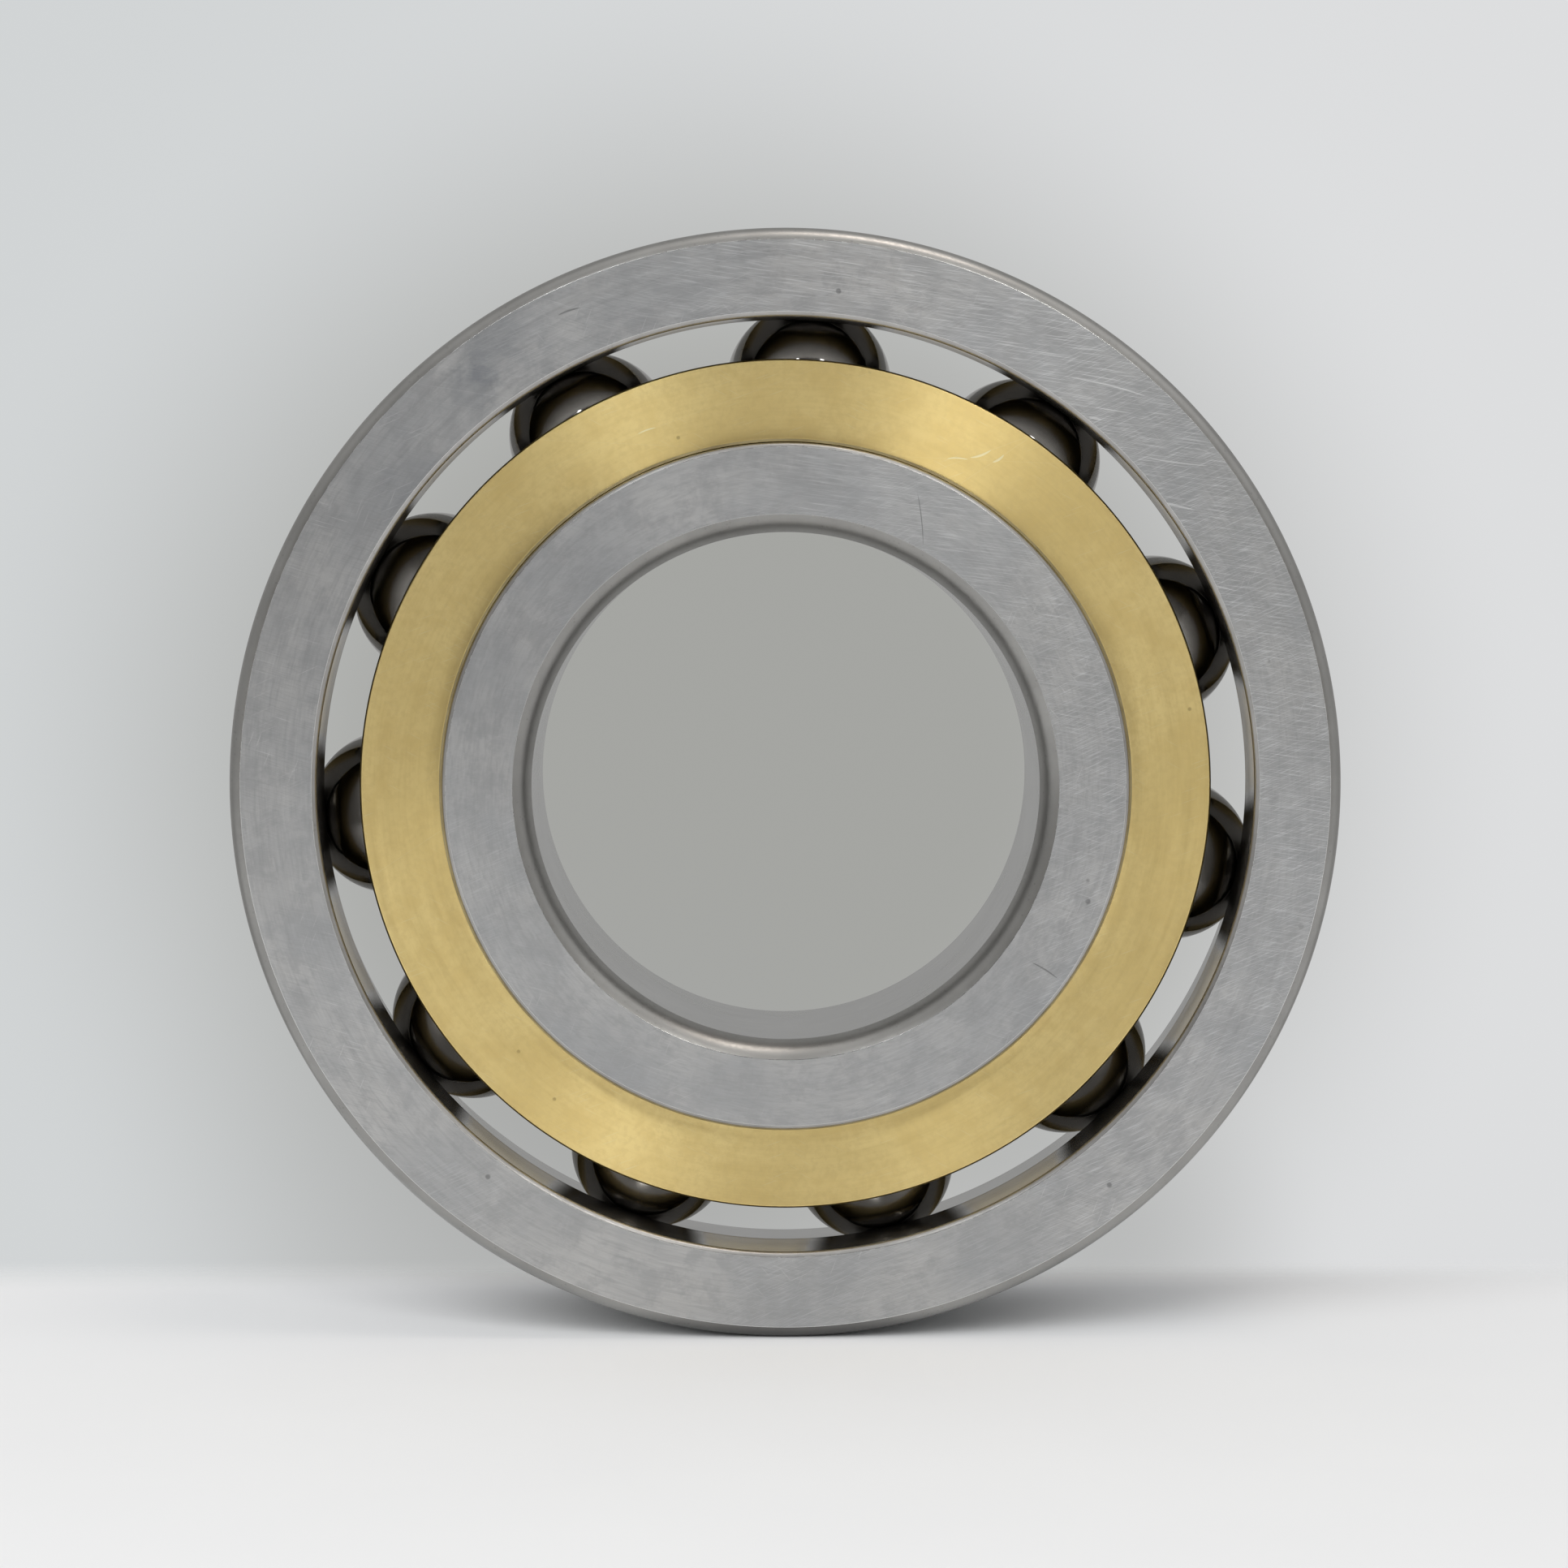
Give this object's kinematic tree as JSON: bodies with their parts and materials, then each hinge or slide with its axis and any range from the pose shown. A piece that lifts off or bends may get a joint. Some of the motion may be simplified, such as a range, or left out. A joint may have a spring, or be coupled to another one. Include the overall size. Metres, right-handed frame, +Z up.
{
  "type": "ball bearing",
  "caption": "Single-row ball bearing with steel inner and outer rings, polished balls and a machined brass cage that turns with them.",
  "frame": {"origin": "centre of the bearing, on its axis and half way through its width", "axes": "Y along the bearing's axis with the front, the side with the high outer shoulder, facing -Y; +Z up, away from the point of the rim it stands on; +X to the right when seen from the front"},
  "size_m": [0.12, 0.029, 0.12],
  "materials": {
    "ring_steel": "ground",
    "cage_brass": "fine turned",
    "ball_steel": "polished"
  },
  "bodies": {
    "outer_ring": {"outer_ring": "ring_steel"},
    "inner_ring": {"inner_ring": "ring_steel"},
    "cage": {"cage": "cage_brass"},
    "ball_01": {"ball_01": "ball_steel"},
    "ball_02": {"ball_02": "ball_steel"},
    "ball_03": {"ball_03": "ball_steel"},
    "ball_04": {"ball_04": "ball_steel"},
    "ball_05": {"ball_05": "ball_steel"},
    "ball_06": {"ball_06": "ball_steel"},
    "ball_07": {"ball_07": "ball_steel"},
    "ball_08": {"ball_08": "ball_steel"},
    "ball_09": {"ball_09": "ball_steel"},
    "ball_10": {"ball_10": "ball_steel"},
    "ball_11": {"ball_11": "ball_steel"}
  },
  "joints": [
    {"name": "inner_ring_spin", "type": "hinge", "parent": "outer_ring", "child": "inner_ring", "pos_m": [0, 0, 0], "axis": [0, 1, 0], "continuous": true},
    {"name": "cage_spin", "type": "hinge", "parent": "outer_ring", "child": "cage", "pos_m": [0, 0, 0], "axis": [0, 1, 0], "continuous": true},
    {"name": "ball_01_spin", "type": "hinge", "parent": "cage", "child": "ball_01", "pos_m": [0.04068, 0, 0.0157], "axis": [0.3943, 0.9063, 0.1521], "continuous": true},
    {"name": "ball_02_spin", "type": "hinge", "parent": "cage", "child": "ball_02", "pos_m": [0.02573, 0, 0.0352], "axis": [0.2494, 0.9063, 0.3412], "continuous": true},
    {"name": "ball_03_spin", "type": "hinge", "parent": "cage", "child": "ball_03", "pos_m": [0.00262, 0, 0.04352], "axis": [0.0254, 0.9063, 0.4219], "continuous": true},
    {"name": "ball_04_spin", "type": "hinge", "parent": "cage", "child": "ball_04", "pos_m": [-0.02133, 0, 0.03803], "axis": [-0.2067, 0.9063, 0.3686], "continuous": true},
    {"name": "ball_05_spin", "type": "hinge", "parent": "cage", "child": "ball_05", "pos_m": [-0.0385, 0, 0.02046], "axis": [-0.3732, 0.9063, 0.1983], "continuous": true},
    {"name": "ball_06_spin", "type": "hinge", "parent": "cage", "child": "ball_06", "pos_m": [-0.04345, 0, -0.0036], "axis": [-0.4212, 0.9063, -0.0349], "continuous": true},
    {"name": "ball_07_spin", "type": "hinge", "parent": "cage", "child": "ball_07", "pos_m": [-0.03461, 0, -0.02652], "axis": [-0.3354, 0.9063, -0.2571], "continuous": true},
    {"name": "ball_08_spin", "type": "hinge", "parent": "cage", "child": "ball_08", "pos_m": [-0.01477, 0, -0.04102], "axis": [-0.1432, 0.9063, -0.3976], "continuous": true},
    {"name": "ball_09_spin", "type": "hinge", "parent": "cage", "child": "ball_09", "pos_m": [0.00975, 0, -0.0425], "axis": [0.0945, 0.9063, -0.4119], "continuous": true},
    {"name": "ball_10_spin", "type": "hinge", "parent": "cage", "child": "ball_10", "pos_m": [0.03118, 0, -0.03048], "axis": [0.3022, 0.9063, -0.2955], "continuous": true},
    {"name": "ball_11_spin", "type": "hinge", "parent": "cage", "child": "ball_11", "pos_m": [0.0427, 0, -0.00879], "axis": [0.4139, 0.9063, -0.0852], "continuous": true}
  ],
  "couplings": [
    {"joint": "cage_spin", "follows": "inner_ring_spin", "ratio": 0.40513},
    {"joint": "ball_01_spin", "follows": "inner_ring_spin", "ratio": -2.3023},
    {"joint": "ball_02_spin", "follows": "inner_ring_spin", "ratio": -2.3023},
    {"joint": "ball_03_spin", "follows": "inner_ring_spin", "ratio": -2.3023},
    {"joint": "ball_04_spin", "follows": "inner_ring_spin", "ratio": -2.3023},
    {"joint": "ball_05_spin", "follows": "inner_ring_spin", "ratio": -2.3023},
    {"joint": "ball_06_spin", "follows": "inner_ring_spin", "ratio": -2.3023},
    {"joint": "ball_07_spin", "follows": "inner_ring_spin", "ratio": -2.3023},
    {"joint": "ball_08_spin", "follows": "inner_ring_spin", "ratio": -2.3023},
    {"joint": "ball_09_spin", "follows": "inner_ring_spin", "ratio": -2.3023},
    {"joint": "ball_10_spin", "follows": "inner_ring_spin", "ratio": -2.3023},
    {"joint": "ball_11_spin", "follows": "inner_ring_spin", "ratio": -2.3023}
  ]
}
